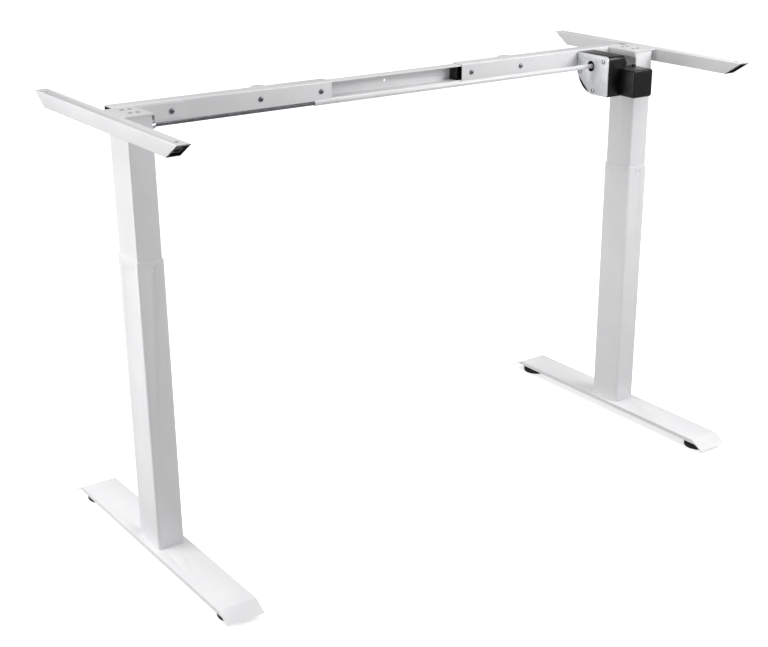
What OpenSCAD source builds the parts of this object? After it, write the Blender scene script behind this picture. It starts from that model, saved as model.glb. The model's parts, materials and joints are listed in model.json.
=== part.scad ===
// Height-adjustable desk frame with two telescopic legs, one motor and a telescopic crossbeam.
// Millimetres, +Z up, X along the crossbeam, -Y to the front, origin on the floor midway between the legs.
// Parts of a leg are drawn once, as the right leg's, and mirrored for the left.

/* [Frame] */
// Distance between the centre lines of the two legs
leg_spacing = 1336; // [1300:1:1400]
// Height of the side tubes' top face at rest
frame_height = 955.6; // [940:0.1:970]
// Length of each half of the crossbeam
channel_l = 504; // [480:1:530]
// How far the crossbeam reaches past a leg's centre line
channel_past = 13; // [11:0.5:24]

/* [Foot] */
// Length of the foot along its underside
foot_l = 728; // [690:1:760]
// Width of the foot
foot_w = 84; // [80:0.5:110]
// Height of the foot's pressing
foot_h = 18.7; // [18:0.1:24]
// Height of the foot's side walls
foot_side_h = 9.5; // [6:0.5:16]
// Length of the slope at each end
foot_slope = 34; // [20:0.5:45]
// Thickness of the foot's sheet
foot_wall = 2.5; // [2:0.1:3]

/* [Levelling pads] */
// Diameter of the pad
pad_d = 68; // [50:0.5:76]
// Thickness of the pad's disc
pad_t = 10; // [8:0.5:14]
// Chamfer round the pad's underside
pad_chamfer = 2.5; // [1:0.1:4]
// Gap between the pad's disc and the foot
pad_gap = 2; // [1.6:0.1:4]
// Distance of the pad's axis from the end of the foot
pad_inset = 52; // [45:0.5:90]
// Diameter of the pad's stud
stud_d = 10; // [8:0.1:12]
// Height of the weld nut that takes the stud
pad_nut_h = 12; // [10:0.1:13]
// Width across the flats of the weld nut
pad_nut_af = 17; // [16:0.1:22]

/* [Columns] */
// Width of the inner column
col_w = 54; // [53:0.1:58]
// Depth of the inner column
col_d = 84; // [83:0.1:88]
// Corner radius of the inner column
col_r = 2.5; // [2.4:0.1:6]
// Wall of the inner column
inner_wall = 2; // [1.5:0.1:2.2]
// Length of the inner column
inner_l = 660; // [630:1:690]
// Gap between the inner column and the outer one, on each side
col_gap = 1.5; // [1.2:0.05:2]
// Wall of the outer column
outer_wall = 1.5; // [1.2:0.1:2]
// Length of the outer column
outer_l = 635; // [610:1:650]
// Thickness of the plate inside the outer column's foot
base_plate_t = 8; // [6:0.5:10]

/* [Glides] */
// Height of the sliding bush in the outer column's mouth
bush_h = 60; // [40:1:90]
// Thickness of the bush's lip over the rim
lip_t = 1.2; // [0.8:0.1:2]
// Diameter of the locating pins
pin_d = 10; // [6:0.5:14]
// Distance of the pins below the rim
pin_drop = 19; // [12:0.5:30]
// Distance of the side pins from the column's middle
pin_side = 31; // [20:0.5:34]
// Height of the collar round the inner column's end
collar_h = 60; // [40:1:90]
// Distance of the collar from the inner column's end
collar_up = 5; // [2:0.5:12]

/* [Side tubes] */
// Length of the tube along its top
tube_l = 638; // [600:1:680]
// Length of the sloped cut at each end
tube_cut = 47; // [30:0.5:55]
// Width of the tube
tube_w = 28.6; // [26:0.1:34]
// Height of the tube
tube_h = 30; // [27:0.1:32]
// Wall of the tube
tube_wall = 1.5; // [1.2:0.1:2.5]
// Distance of a desktop screw hole from the tube's end
desk_hole_inset = 30.5; // [26:0.5:34]
// Diameter of a desktop screw hole
desk_hole_d = 9; // [6:0.1:10]
// Thickness of the end cap's rim over the tube's end, along the tube
cap_rim = 1.2; // [0.8:0.1:2]
// Depth of the end cap's recess along the tube
cap_recess = 6; // [4:0.1:8]
// Thickness of the end cap's floor along the tube
cap_t = 3; // [2:0.1:4]
// Diameter of the screwdriver hole through the cap
cap_hole_d = 13; // [11:0.5:15]

/* [Brackets] */
// Thickness of the bracket's sheet
bracket_t = 3; // [2.5:0.1:3.4]
// Height of the bracket's flange beside the side tube
flange_h = 26.5; // [24:0.1:27]
// Height of the bracket's flange over the drive shaft
inner_flange_h = 14.6; // [10:0.1:20]
// Half width of the bracket
bracket_half = 33.4; // [33.2:0.1:35]
// Depth of the bracket in front of the column's middle
bracket_front = 45; // [43:0.5:50]
// Distance of the beam's web behind the column's middle
beam_y = 49; // [48.5:0.1:52]
// Reach of the left tab along the beam
left_tab_l = 109; // [90:0.5:120]
// Reach of the right tab along the beam
right_tab_l = 45; // [35:0.5:45]
// Height of the tab
tab_h = 30; // [26:0.5:32]
// Distance of the tab's edge below the bracket's top
tab_drop = 3.9; // [3.5:0.1:5]

/* [Crossbeam] */
// Height of the outer channels
channel_h = 40; // [38:0.1:42]
// Depth of the outer channels
channel_d = 37.5; // [36:0.1:42]
// Thickness of the channels' sheet
channel_t = 2; // [1.6:0.1:2.4]
// Length of the centre rail
rail_l = 800; // [760:1:840]
// Distance of the centre rail's middle from the frame's middle, to the left
rail_shift = 16; // [0:0.5:24]
// Clearance between the centre rail and the channels
rail_clear = 0.4; // [0.3:0.05:0.6]
// Depth of the centre rail
rail_d = 32.6; // [30:0.1:35]
// Diameter of the hole in the middle of the rail
rail_hole_d = 8; // [5:0.1:12]
// Length of each spacer block in the rail
block_l = 102; // [80:1:140]
// Distance of each spacer block's middle from the rail's middle
block_off = 233; // [200:1:240]
// Setback of the spacer block behind the rail's open side
block_setback = 2.1; // [1.9:0.1:6]
// Distance of the inner clamp screws from the channel's inner end
clamp_1 = 27; // [23:1:53]
// Distance of the outer clamp screws from the channel's inner end
clamp_2 = 175; // [123:1:223]
// Distance of the desktop ears from the channel's inner end
ear_in = 158; // [83:1:203]
// Width of a desktop ear
ear_w = 28; // [20:0.5:40]
// Reach of a desktop ear behind the beam
ear_l = 16; // [14:0.5:24]
// Diameter of the hole in a desktop ear
ear_hole_d = 7; // [4:0.1:8]

/* [Drive shaft] */
// Depth of the drive shaft's axis below the frame's top
rod_drop = 32; // [31.6:0.1:33]
// Width across the flats of the hexagon rod
rod_af = 7; // [6.4:0.1:7.2]
// Inner end of the hexagon rod, to the right of the frame's middle
rod_end = 150; // [60:1:230]
// Diameter of the sleeve tube
sleeve_d = 11; // [10.8:0.1:12]
// Bore of the sleeve tube
sleeve_bore = 8.7; // [8.7:0.05:9.2]
// Left end of the sleeve tube, from the frame's middle
sleeve_end = 253; // [240:1:280]
// Diameter of the sleeve's grub screws
grub_d = 4; // [3:0.1:5]

/* [Leg drive] */
// Pitch radius of the bevel gears
bevel_r = 17.1; // [16.6:0.1:17.4]
// Teeth on each bevel gear
bevel_teeth = 18; // [14:2:22]
// Height of a bevel tooth outside the pitch circle
bevel_add = 1.5; // [1.2:0.1:1.7]
// Depth of a bevel tooth inside the pitch circle
bevel_ded = 2; // [1.8:0.1:2.4]
// Width of the bevel gears' faces
bevel_face = 6.5; // [5:0.1:7]
// Diameter of the spindle
spindle_d = 16; // [15.5:0.1:18]
// Diameter of the spindle's journal
journal_d = 15; // [13:0.1:15.2]
// Height of the spindle's lower end above the floor
spindle_low = 300; // [280:1:330]
// Height of the gear block
gear_block_h = 70; // [68:0.5:80]
// Width of the gear block's cavity
cavity_w = 43; // [41:0.1:44]
// Thickness of the gear block's roof
roof_t = 8.6; // [8:0.1:9.4]
// Thickness of the spindle's bearing
bearing_t = 12; // [10:0.1:13]
// Outer diameter of the nut tube
nut_tube_d = 30; // [28:0.1:34]
// Wall of the nut tube
nut_tube_wall = 2; // [1.5:0.1:3]
// Length of the nut tube
nut_tube_l = 565; // [550:1:580]
// Length of the nut inside its tube
nut_l = 30; // [20:0.5:40]
// Thickness of the nut's flange
nut_flange_t = 5; // [3:0.1:8]
// Diameter of the nut's flange
nut_flange_d = 34; // [33:0.1:40]

/* [Gear casing] */
// Distance of the cover plate's left face from the right leg's centre line
casing_in = 136; // [132:0.5:140]
// Length of the casing with its cover plate
casing_l = 56; // [52:0.5:57]
// Reach of the casing in front of the shaft's axis
casing_front = 59; // [54:0.5:62]
// Reach of the casing above the shaft's axis
casing_up = 28.4; // [25:0.1:31]
// Reach of the casing below the shaft's axis
casing_down = 66.6; // [62:0.1:70]
// Radius of the casing's lower corner
casing_big_r = 62; // [55:0.5:68]
// Radius of the casing's front top corner
casing_small_r = 9; // [5:0.5:12]
// Wall of the casing
casing_wall = 3; // [2.4:0.1:3.6]
// Thickness of the cover plate
cover_t = 3; // [2:0.1:4]
// Width of the cover plate's cut corner
cover_cut_w = 48; // [40:0.5:52]
// Height of the cover plate's cut corner
cover_cut_h = 44; // [38:0.5:50]
// Diameter of the shaft's hole in the cover plate
cover_hole_d = 25; // [23.5:0.1:28]

/* [Worm gear and motor] */
// Distance of the motor's axis from the right leg's centre line
motor_in = 65; // [63:0.1:66]
// Distance between the shaft's axis and the motor's axis
worm_drop = 24; // [23.8:0.1:25]
// Pitch radius of the worm wheel
wheel_r = 14; // [13.8:0.05:14.2]
// Teeth on the worm wheel
wheel_teeth = 20; // [16:1:24]
// Height of a wheel tooth outside the pitch circle
wheel_add = 1.1; // [0.8:0.1:1.3]
// Width of the worm wheel
wheel_w = 10; // [8:0.5:12]
// Diameter of the worm wheel's hub
hub_d = 22; // [20:0.1:23]
// Turns of thread on the worm
worm_turns = 6; // [4:1:7]
// Diameter of the motor's shaft
motor_shaft_d = 8; // [6:0.1:9]
// Diameter of the motor's can
can_d = 40; // [34:0.5:40.2]
// Diameter of the motor can's nose
nose_d = 28; // [24:0.5:29]
// Width of the motor's cover
motor_cover_w = 62; // [56:0.5:62]
// Height of the motor's cover
motor_cover_h = 65.5; // [60:0.5:68]
// Reach of the motor's cover in front of its flange
motor_cover_l = 66; // [62:0.5:74]
// Reach of the motor's flange in front of the shaft's axis
flange_y = 42; // [40:0.5:44]
// Distance of the cover's underside below the shaft's axis
motor_cover_down = 66.6; // [64:0.1:68]
// Corner radius of the motor's cover
motor_cover_r = 6; // [3:0.5:9]
// Wall of the motor's cover
motor_cover_wall = 2.5; // [1.8:0.1:2.6]

/* [Fasteners] */
// Thread diameter of the beam's and column's screws
screw_d = 6; // [5:0.1:6.4]
// Diameter of a beam screw's head
head_d = 11; // [10:0.1:12]
// Height of a beam screw's head
head_h = 3.5; // [2.5:0.1:4]
// Width across the flats of the screws' sockets
socket_af = 4; // [3:0.1:5]
// Thread diameter of the bracket's countersunk screws
csk_d = 5; // [4:0.1:5.4]
// Head diameter of the countersunk screws
csk_head_d = 10; // [8:0.1:10.6]
// Head height of the countersunk screws
csk_head_h = 2.6; // [2:0.1:2.8]
// Thread diameter of the cover plate's screws
cover_screw_d = 5; // [4:0.1:6]
// Head diameter of the cover plate's screws
cover_head_d = 10; // [8:0.1:11]

/* [Fits] */
// Sliding clearance of the plastic glides
slide_clear = 0.3; // [0.3:0.05:0.4]
// Radial clearance of a turning shaft
run_clear = 0.05; // [0.02:0.01:0.08]
// Clearance between pieces that are pressed or screwed together
fit = 0.05; // [0.02:0.01:0.08]
// Clearance of a hole round its screw
hole_clear = 0.3; // [0.1:0.05:0.5]
// Gap between neighbouring pieces that move past each other
part_gap = 0.3; // [0.3:0.05:0.5]

/* [Hidden] */

left = -1;
right = 1;
front = -1;
rear = 1;
both = [-1, 1];

// Colours
white_paint = "whitesmoke";
black_plastic = [0.09, 0.09, 0.1];
zinc = "silver";
steel = "slategray";
casting = "gray";
cover_grey = [0.78, 0.79, 0.8];

// Overrun of every cut past the face that it opens
over = 1;

// Heights
foot_z = pad_t + pad_gap;
foot_top = foot_z + foot_h;
outer_top = foot_top + outer_l;
plate_under = frame_height - bracket_t;
inner_low = plate_under - inner_l;
rod_z = frame_height - rod_drop;
tube_low = frame_height - tube_h;
leg_x = leg_spacing / 2;
casing_x = leg_x - casing_in;
motor_x = leg_x - motor_in;

// Facets of round shapes
$fn = 48;

// Width across the corners of a hexagon, from its flats
function hex_d(af) = 2 * af / sqrt(3);

// A rectangle with rounded corners, centred
module round_rect(w, d, r) {
  square([w - 2 * r, d], center = true);
  square([w, d - 2 * r], center = true);
  for (i = both, j = both) translate([i * (w / 2 - r), j * (d / 2 - r)]) circle(r);
}

// The inner column's outline, grown by a given distance
module col_outline(grow) {
  round_rect(col_w + 2 * grow, col_d + 2 * grow, col_r + grow);
}

// A ring that follows the inner column's outline
module col_ring(grow_in, grow_out, h) {
  linear_extrude(h) difference() {
    col_outline(grow_out);
    col_outline(grow_in);
  }
}

// Places a part drawn for the right leg, mirrored for the left
module at_leg(side) {
  mirror([side == left ? 1 : 0, 0, 0]) translate([leg_x, 0, 0]) children();
}

// Places a part drawn for the right half of the beam, mirrored for the left
module at_half(side) {
  mirror([side == left ? 1 : 0, 0, 0]) children();
}

// Turns an upright shape so that it points along +X, +Y or -Y
module along_x() {
  rotate([0, 90, 0]) children();
}
module along_y() {
  rotate([-90, 0, 0]) children();
}
module along_front() {
  rotate([90, 0, 0]) children();
}

// An outline given in y and z, extruded along X
module extrude_x(l) {
  rotate([90, 0, 90]) linear_extrude(l) children();
}

// Foot

// Place of the foot's sloped end at a height above the foot's underside
function foot_end(z) = foot_l / 2 - foot_slope * z / foot_h;

// The foot's outline from the side, between two heights, drawn in by a given distance
function foot_profile(low, high, shrink) = [
  [shrink - foot_end(low), low], [foot_end(low) - shrink, low],
  [foot_end(high) - shrink, high], [shrink - foot_end(high), high]];

// Thickness of the sloped end's sheet, measured along the foot
end_wall = foot_wall * norm([foot_slope, foot_h]) / foot_h;

bolt_x = 18;
bolt_y = 31;
bolt_head_d = 10;
bolt_head_h = 6;
bolt_socket_af = 5;
bolt_tip = 0.5;

module at_bolts() {
  for (i = both, j = both) translate([i * bolt_x, j * bolt_y, 0]) children();
}

module foot(side) color(white_paint) at_leg(side) translate([0, 0, foot_z]) difference() {
  translate([-foot_w / 2, 0, 0]) extrude_x(foot_w) polygon(foot_profile(0, foot_h, 0));
  translate([-foot_w / 2 + foot_wall, 0, 0]) extrude_x(foot_w - 2 * foot_wall)
    polygon(foot_profile(-over, foot_h - foot_wall, end_wall));
  translate([-foot_w / 2 - over, 0, 0]) extrude_x(foot_w + 2 * over)
    polygon(foot_profile(-over, foot_h - foot_side_h, end_wall + over));
  at_bolts() cylinder(h = foot_h + over, d = screw_d + 2 * hole_clear);
}

// Levelling pad with its moulded stud

pad_y = foot_l / 2 - pad_inset;
stud_free = 2.2;
pad_dish = 1;
pad_dish_d = 40;

module pad(side, end) color(black_plastic) at_leg(side) translate([0, end * pad_y, 0]) difference() {
  union() {
    cylinder(h = pad_chamfer, d1 = pad_d - 2 * pad_chamfer, d2 = pad_d);
    translate([0, 0, pad_chamfer]) cylinder(h = pad_t - pad_chamfer, d = pad_d);
    cylinder(h = foot_top - foot_wall - stud_free, d = stud_d);
  }
  translate([0, 0, -over]) cylinder(h = pad_dish + over, d = pad_dish_d);
}

module pad_nuts(side) color(zinc) at_leg(side) for (end = both)
  translate([0, end * pad_y, foot_top - foot_wall - pad_nut_h]) difference() {
    cylinder(h = pad_nut_h, d = hex_d(pad_nut_af), $fn = 6);
    translate([0, 0, -over]) cylinder(h = pad_nut_h + 2 * over, d = stud_d + 2 * run_clear);
  }

// Outer column and what is fixed in it

outer_grow = col_gap + outer_wall;

module at_pins(z) {
  for (j = both) translate([0, j * (col_d / 2 + col_gap - fit), z]) rotate([-90 * j, 0, 0]) children();
  for (i = both, j = both) translate([i * (col_w / 2 + col_gap - fit), j * pin_side, z])
    rotate([0, 90 * i, 0]) children();
}

module outer_column(side) color(white_paint) at_leg(side) difference() {
  translate([0, 0, foot_top]) col_ring(col_gap, outer_grow, outer_l);
  at_pins(outer_top - pin_drop) translate([0, 0, -over]) cylinder(h = outer_wall + 2 * over, d = pin_d + 2 * fit);
}

module column_base(side) color(steel) at_leg(side) translate([0, 0, foot_top]) difference() {
  linear_extrude(base_plate_t) col_outline(col_gap - fit);
  translate([0, 0, -over]) cylinder(h = base_plate_t + 2 * over, d = nut_tube_d + 2 * fit);
  at_bolts() translate([0, 0, -over]) cylinder(h = base_plate_t + 2 * over, d = screw_d + 2 * fit);
}

module column_bolts(side) color(zinc) at_leg(side) at_bolts()
  translate([0, 0, foot_top - foot_wall]) difference() {
    union() {
      translate([0, 0, -bolt_head_h]) cylinder(h = bolt_head_h, d = bolt_head_d);
      cylinder(h = foot_wall + base_plate_t - bolt_tip, d = screw_d);
    }
    translate([0, 0, -bolt_head_h - over])
      cylinder(h = bolt_head_h / 2 + over, d = hex_d(bolt_socket_af), $fn = 6);
  }

module glide_bush(side) color(white_paint) at_leg(side) {
  translate([0, 0, outer_top - bush_h]) col_ring(slide_clear, col_gap - fit, bush_h);
  translate([0, 0, outer_top]) col_ring(slide_clear, outer_grow - slide_clear, lip_t);
  at_pins(outer_top - pin_drop) cylinder(h = outer_wall, d = pin_d);
}

module nut_tube(side) color(steel) at_leg(side) translate([0, 0, foot_top]) difference() {
  cylinder(h = nut_tube_l, d = nut_tube_d);
  translate([0, 0, -over]) cylinder(h = nut_tube_l + 2 * over, d = nut_tube_d - 2 * nut_tube_wall);
}

module spindle_nut(side) color("tan") at_leg(side) translate([0, 0, foot_top + nut_tube_l]) difference() {
  union() {
    translate([0, 0, -nut_l]) cylinder(h = nut_l, d = nut_tube_d - 2 * nut_tube_wall - 2 * fit);
    cylinder(h = nut_flange_t, d = nut_flange_d);
  }
  translate([0, 0, -nut_l - over])
    cylinder(h = nut_l + nut_flange_t + 2 * over, d = spindle_d + 2 * run_clear);
}

// Inner column and its collar

bush_od = 18;
bush_flange_d = 21;
bush_flange_t = 1.5;

module inner_column(side) color(white_paint) at_leg(side) difference() {
  translate([0, 0, inner_low]) col_ring(-inner_wall, 0, inner_l);
  translate([-col_w / 2 - over, 0, rod_z]) along_x() cylinder(h = inner_wall + 2 * over, d = bush_od + 2 * hole_clear);
}

module inner_glide(side) color("gainsboro") at_leg(side)
  translate([0, 0, inner_low + collar_up]) col_ring(fit, col_gap - slide_clear, collar_h);

// Folded bracket over the column's top

block_screw_x = [-10.5, 5];
block_screw_y = [-13, 23];

module at_block_screws() {
  for (x = block_screw_x, y = block_screw_y) translate([x, y, 0]) children();
}

tab_z = frame_height - tab_drop - tab_h;
tab_screw_edge = 31.8;
left_tab_screw_2 = 95;
right_tab_screw = 23;
beam_mid_z = frame_height - channel_h / 2;

module bracket(side, tab_l, screw_reach) color(white_paint) at_leg(side) difference() {
  union() {
    translate([-bracket_half, -bracket_front, plate_under])
      cube([2 * bracket_half, bracket_front + beam_y, bracket_t]);
    for (f = [[-bracket_half, inner_flange_h], [bracket_half - bracket_t, flange_h]])
      translate([f[0], -bracket_front, frame_height - f[1]])
        cube([bracket_t, bracket_front + beam_y - bracket_t, f[1] - bracket_t / 2]);
    translate([-bracket_half, beam_y - bracket_t, tab_z])
      cube([2 * bracket_half, bracket_t, frame_height - tab_z]);
    translate([-bracket_half - tab_l, beam_y - bracket_t, tab_z])
      cube([tab_l + over, bracket_t, tab_h]);
  }
  at_block_screws() translate([0, 0, frame_height - csk_head_h]) {
    cylinder(h = csk_head_h + over, d1 = csk_d + 2 * hole_clear,
      d2 = csk_head_d + 2 * hole_clear + (csk_head_d - csk_d) * over / csk_head_h);
    translate([0, 0, -bracket_t]) cylinder(h = bracket_t + over, d = csk_d + 2 * hole_clear);
  }
  for (r = screw_reach) translate([-bracket_half - r, beam_y - bracket_t - over, beam_mid_z])
    along_y() cylinder(h = bracket_t + 2 * over, d = screw_d + 2 * hole_clear);
}

left_tab_screws = [left_tab_l - tab_screw_edge, left_tab_l - left_tab_screw_2];
right_tab_screws = [right_tab_screw];

// Side tube under the desktop

tube_x = bracket_half;

function tube_profile(l_top, l_low, z_low, z_top) =
  [[-l_low / 2, z_low], [l_low / 2, z_low], [l_top / 2, z_top], [-l_top / 2, z_top]];

module side_tube(side) color(white_paint) at_leg(side) translate([tube_x, 0, tube_low]) difference() {
  extrude_x(tube_w) polygon(tube_profile(tube_l - 2 * cap_rim, tube_l - 2 * (tube_cut + cap_rim), 0, tube_h));
  translate([tube_wall, -tube_l / 2 - over, tube_wall])
    cube([tube_w - 2 * tube_wall, tube_l + 2 * over, tube_h - 2 * tube_wall]);
  for (j = both) translate([tube_w / 2, j * (tube_l / 2 - desk_hole_inset), tube_h / 2])
    cylinder(h = tube_h, d = desk_hole_d);
}

// Place of the sloped cut at a height inside the tube, measured along the tube
function cut_at(z) = tube_l / 2 - tube_cut * (tube_h - z) / tube_h;

cap_low = tube_wall + fit;
cap_high = tube_h - tube_wall - fit;
cap_wall = 1.4;
plug_l = 10;

// A piece of the end cap between two heights and two distances from the cut
function cap_profile(low, high, from, to) = [
  [cut_at(low) - to, low], [cut_at(low) - from, low], [cut_at(high) - from, high], [cut_at(high) - to, high]];

// End cap: a rim that covers the tube's end, and a cup inside it
module tube_cap() difference() {
  union() {
    extrude_x(tube_w) polygon(cap_profile(0, tube_h, 0, cap_rim));
    translate([tube_wall + fit, 0, 0]) extrude_x(tube_w - 2 * (tube_wall + fit))
      polygon(cap_profile(cap_low, cap_high, cap_rim / 2, cap_recess + cap_t));
  }
  translate([tube_wall + fit + cap_wall, 0, 0]) extrude_x(tube_w - 2 * (tube_wall + fit + cap_wall))
    polygon(cap_profile(cap_low + cap_wall, cap_high - cap_wall, -over, cap_recess));
  translate([tube_w / 2, tube_l / 2 - desk_hole_inset, 0]) cylinder(h = tube_h, d = cap_hole_d);
}

// Cup that closes the crossbeam's open end
module beam_plug() translate([channel_past - plug_l, beam_y + channel_t + fit, channel_low + channel_t + fit])
  difference() {
    cube([plug_l, channel_d - channel_t - fit, channel_h - 2 * (channel_t + fit)]);
    translate([cap_wall, cap_wall, cap_wall]) cube([plug_l, channel_d - channel_t - fit - 2 * cap_wall,
      channel_h - 2 * (channel_t + fit + cap_wall)]);
  }

module tube_caps(side) color(black_plastic) at_leg(side) {
  for (j = both) translate([tube_x, 0, tube_low]) mirror([0, j == front ? 1 : 0, 0]) tube_cap();
  beam_plug();
}

// Crossbeam channels

channel_out = leg_x + channel_past;
channel_in = channel_out - channel_l;
channel_low = frame_height - channel_h;
clamp_places = [channel_in + clamp_1, channel_in + clamp_2];
ear_x = channel_in + ear_in;
casing_screw_x = [18, 43];
screw_past = 2.2;

module channel(side, tab_reach, casing_holes) color(white_paint) at_half(side) difference() {
  union() {
    translate([channel_in, beam_y, channel_low]) cube([channel_l, channel_d, channel_h]);
    translate([ear_x - ear_w / 2, beam_y + channel_d - over, frame_height - channel_t])
      cube([ear_w, ear_l + over, channel_t]);
  }
  translate([channel_in - over, beam_y + channel_t, channel_low + channel_t])
    cube([channel_l + 2 * over, channel_d, channel_h - 2 * channel_t]);
  translate([ear_x, beam_y + channel_d + ear_l / 2, frame_height - channel_t - over])
    cylinder(h = channel_t + 2 * over, d = ear_hole_d);
  for (x = clamp_places) translate([x, beam_y - over, beam_mid_z])
    along_y() cylinder(h = channel_t + 2 * over, d = screw_d + 2 * fit);
  for (r = tab_reach) translate([leg_x - bracket_half - r, beam_y - over, beam_mid_z])
    along_y() cylinder(h = channel_t + 2 * over, d = screw_d + 2 * fit);
  for (x = casing_holes) translate([casing_x + x, beam_y - over, beam_mid_z])
    along_y() cylinder(h = channel_t + 2 * over, d = screw_d + 2 * hole_clear);
}

// A button-head screw that points along +Z, with its head's underside at zero
module button_screw(l) difference() {
  union() {
    translate([0, 0, -head_h]) cylinder(h = head_h / 2, d1 = head_d - head_h, d2 = head_d);
    translate([0, 0, -head_h / 2]) cylinder(h = head_h / 2, d = head_d);
    cylinder(h = l, d = screw_d);
  }
  translate([0, 0, -head_h - over]) cylinder(h = head_h * 2 / 3 + over, d = hex_d(socket_af), $fn = 6);
}

clamp_l = channel_t + rail_clear + block_setback - part_gap;
casing_screw_l = 12;

module channel_screws(side, tab_reach, casing_holes) color(zinc) at_half(side) {
  for (x = clamp_places) translate([x, beam_y, beam_mid_z]) along_y() button_screw(clamp_l);
  for (r = tab_reach) translate([leg_x - bracket_half - r, beam_y - bracket_t, beam_mid_z])
    along_y() button_screw(bracket_t + channel_t + screw_past);
  for (x = casing_holes) translate([casing_x + x, beam_y + channel_t, beam_mid_z])
    along_front() button_screw(casing_screw_l);
}

// Centre rail and its spacer blocks

rail_y = beam_y + channel_t + rail_clear;
rail_low = channel_low + channel_t + rail_clear;
rail_h = channel_h - 2 * channel_t - 2 * rail_clear;

module centre_rail() color(white_paint) translate([-rail_shift, rail_y, rail_low]) difference() {
  translate([-rail_l / 2, 0, 0]) cube([rail_l, rail_d, rail_h]);
  translate([-rail_l / 2 - over, -over, channel_t])
    cube([rail_l + 2 * over, rail_d - channel_t + over, rail_h - 2 * channel_t]);
  translate([0, rail_d - channel_t - over, rail_h / 2]) along_y()
    cylinder(h = channel_t + 2 * over, d = rail_hole_d);
}

module rail_blocks() color(black_plastic) for (i = both)
  translate([i * block_off - rail_shift - block_l / 2, rail_y + block_setback, rail_low + channel_t + fit])
    cube([block_l, rail_d - channel_t - block_setback, rail_h - 2 * channel_t - 2 * fit]);

// Gear block in the column's top

block_low = plate_under - gear_block_h;
block_fit = 0.2;
cavity_top = plate_under - roof_t;
block_tip = 1;

module gear_block(side) color(casting) at_leg(side) difference() {
  translate([0, 0, block_low]) linear_extrude(gear_block_h)
    square([col_w - 2 * (inner_wall + block_fit), col_d - 2 * (inner_wall + block_fit)], center = true);
  translate([-cavity_w / 2, -cavity_w / 2, block_low - over])
    cube([cavity_w, cavity_w, cavity_top - block_low + over]);
  translate([-col_w / 2, 0, rod_z]) along_x() cylinder(h = col_w / 2, d = bush_od + 2 * fit);
  at_block_screws() translate([0, 0, plate_under - roof_t + block_tip])
    cylinder(h = roof_t, d = csk_d + 2 * fit);
}

module block_screws(side) color(zinc) at_leg(side) at_block_screws() difference() {
  union() {
    translate([0, 0, frame_height - csk_head_h]) cylinder(h = csk_head_h - fit, d1 = csk_d, d2 = csk_head_d);
    translate([0, 0, plate_under - roof_t + block_tip + fit])
      cylinder(h = roof_t + bracket_t - block_tip - csk_head_h, d = csk_d);
  }
  translate([0, 0, frame_height - csk_head_h / 2]) cylinder(h = csk_head_h, d = hex_d(socket_af), $fn = 6);
}

// The spindle's bearing in its square carrier, and the shaft's bush

carrier_up = 1.4;
carrier_low = block_low + carrier_up;
carrier_top = carrier_low + bearing_t;
bearing_d = 35;
gear_neck_d = 14;

module bearings(side) color(zinc) at_leg(side) {
  translate([0, 0, carrier_low]) difference() {
    linear_extrude(bearing_t) square(cavity_w - 2 * fit, center = true);
    translate([0, 0, -over]) cylinder(h = bearing_t + 2 * over, d = bearing_d);
  }
  translate([0, 0, carrier_low]) difference() {
    cylinder(h = bearing_t, d = bearing_d - 2 * fit);
    translate([0, 0, -over]) cylinder(h = bearing_t + 2 * over, d = journal_d + 2 * run_clear);
  }
  translate([-col_w / 2 - bush_flange_t - fit, 0, rod_z]) along_x() difference() {
    union() {
      cylinder(h = bush_flange_t, d = bush_flange_d);
      cylinder(h = bush_flange_t + (col_w - cavity_w) / 2, d = bush_od);
    }
    translate([0, 0, -over]) cylinder(h = col_w / 2, d = gear_neck_d + 2 * run_clear);
  }
}

// Bevel gears: straight teeth that narrow to the point where the two axes cross

bevel_root_r = bevel_r - bevel_ded;
bevel_tip_r = bevel_r + bevel_add;
tooth_root_share = 0.30;
tooth_tip_share = 0.15;

// Outline of a toothed wheel, with tooth widths as shares of the pitch
function tooth_points(teeth, root_r, tip_r, root_share, tip_share) = [
  for (i = [0 : teeth - 1], p = [[root_r, -root_share], [tip_r, -tip_share], [tip_r, tip_share], [root_r, root_share]])
    let (a = (i + p[1]) * 360 / teeth) [p[0] * cos(a), p[0] * sin(a)]];

// A bevel gear's teeth, with the crossing point at the origin and the wide end at -bevel_r
module bevel_teeth_cone(turn) translate([0, 0, -bevel_r])
  linear_extrude(bevel_face, scale = (bevel_r - bevel_face) / bevel_r)
    polygon(tooth_points_turned(turn));

function tooth_points_turned(turn) = [
  for (p = tooth_points(bevel_teeth, bevel_root_r, bevel_tip_r, tooth_root_share, tooth_tip_share))
    [p[0] * cos(turn) - p[1] * sin(turn), p[0] * sin(turn) + p[1] * cos(turn)]];

gear_hub_d = 22;
journal_up = 12;

module spindle_gear(side) color(steel) at_leg(side) translate([0, 0, rod_z]) difference() {
  union() {
    bevel_teeth_cone(0);
    translate([0, 0, carrier_top + part_gap - rod_z])
      cylinder(h = rod_z - bevel_r - carrier_top - part_gap + over, d = gear_hub_d);
  }
  translate([0, 0, -casing_down]) cylinder(h = casing_down, d = journal_d + 2 * fit);
}

module spindle(side) color(zinc) at_leg(side) {
  translate([0, 0, spindle_low]) cylinder(h = carrier_low - part_gap - spindle_low, d = spindle_d);
  translate([0, 0, carrier_low - part_gap - over])
    cylinder(h = rod_z - journal_up - carrier_low + part_gap + over, d = journal_d);
}

shaft_hub_d = 20;
right_neck_end = 29.6;
left_neck_end = 49;
bore_fit = 0.1;
half_tooth = 180 / bevel_teeth;

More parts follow.
